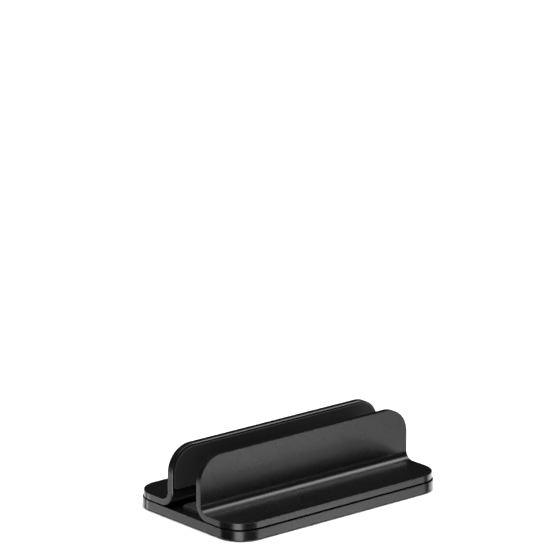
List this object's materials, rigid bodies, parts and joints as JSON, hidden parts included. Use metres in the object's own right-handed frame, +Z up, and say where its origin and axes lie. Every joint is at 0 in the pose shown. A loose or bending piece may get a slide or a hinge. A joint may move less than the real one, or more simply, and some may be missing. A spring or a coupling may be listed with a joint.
{
  "type": "vertical laptop stand",
  "caption": "Adjustable vertical laptop dock: a rounded base plate carries two sliding L-shaped brackets with silicone liners, clamped from beneath by button-head screws.",
  "frame": {"origin": "centre of the stand's footprint, on the desk that its rubber feet rest on", "axes": "+X along the slot that the laptop stands in, +Y from the front bracket to the rear one, +Z up"},
  "size_m": [0.15, 0.092, 0.0413],
  "materials": {
    "black_anodised_aluminium": "satin black anodised, fine bead-blasted grain",
    "black_silicone": "matte",
    "foot_rubber": "matte",
    "black_oxide_steel": "black oxide, satin",
    "zinc_plated_steel": "bright zinc plated"
  },
  "bodies": {
    "base": {"base_plate": "black_anodised_aluminium", "cradle_pad": "black_silicone", "foot_front_left": "foot_rubber", "foot_front_right": "foot_rubber", "foot_rear_left": "foot_rubber", "foot_rear_right": "foot_rubber"},
    "front_bracket": {"front_bracket": "black_anodised_aluminium", "front_wall_liner": "black_silicone"},
    "rear_bracket": {"rear_bracket": "black_anodised_aluminium", "rear_wall_liner": "black_silicone"},
    "washer_front_left": {"clamp_washer_front_left": "zinc_plated_steel"},
    "washer_front_right": {"clamp_washer_front_right": "zinc_plated_steel"},
    "washer_rear_left": {"clamp_washer_rear_left": "zinc_plated_steel"},
    "washer_rear_right": {"clamp_washer_rear_right": "zinc_plated_steel"},
    "screw_front_left": {"clamp_screw_front_left": "black_oxide_steel"},
    "screw_front_right": {"clamp_screw_front_right": "black_oxide_steel"},
    "screw_rear_left": {"clamp_screw_rear_left": "black_oxide_steel"},
    "screw_rear_right": {"clamp_screw_rear_right": "black_oxide_steel"}
  },
  "joints": [
    {"name": "front_bracket_slide", "type": "slide", "parent": "base", "child": "front_bracket", "axis": [0, -1, 0], "range_m": [-0.0044, 0.009]},
    {"name": "rear_bracket_slide", "type": "slide", "parent": "base", "child": "rear_bracket", "axis": [0, 1, 0], "range_m": [-0.0044, 0.009]},
    {"name": "screw_lift_front_left", "type": "slide", "parent": "front_bracket", "child": "washer_front_left", "axis": [0, 0, -1], "range_m": [0, 0.0007]},
    {"name": "screw_turn_front_left", "type": "hinge", "parent": "washer_front_left", "child": "screw_front_left", "pos_m": [-0.045, -0.0252, 0.0031], "axis": [0, 0, -1], "range_deg": [0, 360]},
    {"name": "screw_lift_front_right", "type": "slide", "parent": "front_bracket", "child": "washer_front_right", "axis": [0, 0, -1], "range_m": [0, 0.0007]},
    {"name": "screw_turn_front_right", "type": "hinge", "parent": "washer_front_right", "child": "screw_front_right", "pos_m": [0.045, -0.0252, 0.0031], "axis": [0, 0, -1], "range_deg": [0, 360]},
    {"name": "screw_lift_rear_left", "type": "slide", "parent": "rear_bracket", "child": "washer_rear_left", "axis": [0, 0, -1], "range_m": [0, 0.0007]},
    {"name": "screw_turn_rear_left", "type": "hinge", "parent": "washer_rear_left", "child": "screw_rear_left", "pos_m": [-0.045, 0.0252, 0.0031], "axis": [0, 0, -1], "range_deg": [0, 360]},
    {"name": "screw_lift_rear_right", "type": "slide", "parent": "rear_bracket", "child": "washer_rear_right", "axis": [0, 0, -1], "range_m": [0, 0.0007]},
    {"name": "screw_turn_rear_right", "type": "hinge", "parent": "washer_rear_right", "child": "screw_rear_right", "pos_m": [0.045, 0.0252, 0.0031], "axis": [0, 0, -1], "range_deg": [0, 360]}
  ],
  "couplings": [
    {"joint": "screw_turn_front_left", "follows": "screw_lift_front_left", "rad_per_m": 8976},
    {"joint": "screw_turn_front_right", "follows": "screw_lift_front_right", "rad_per_m": 8976},
    {"joint": "screw_turn_rear_left", "follows": "screw_lift_rear_left", "rad_per_m": 8976},
    {"joint": "screw_turn_rear_right", "follows": "screw_lift_rear_right", "rad_per_m": 8976}
  ]
}
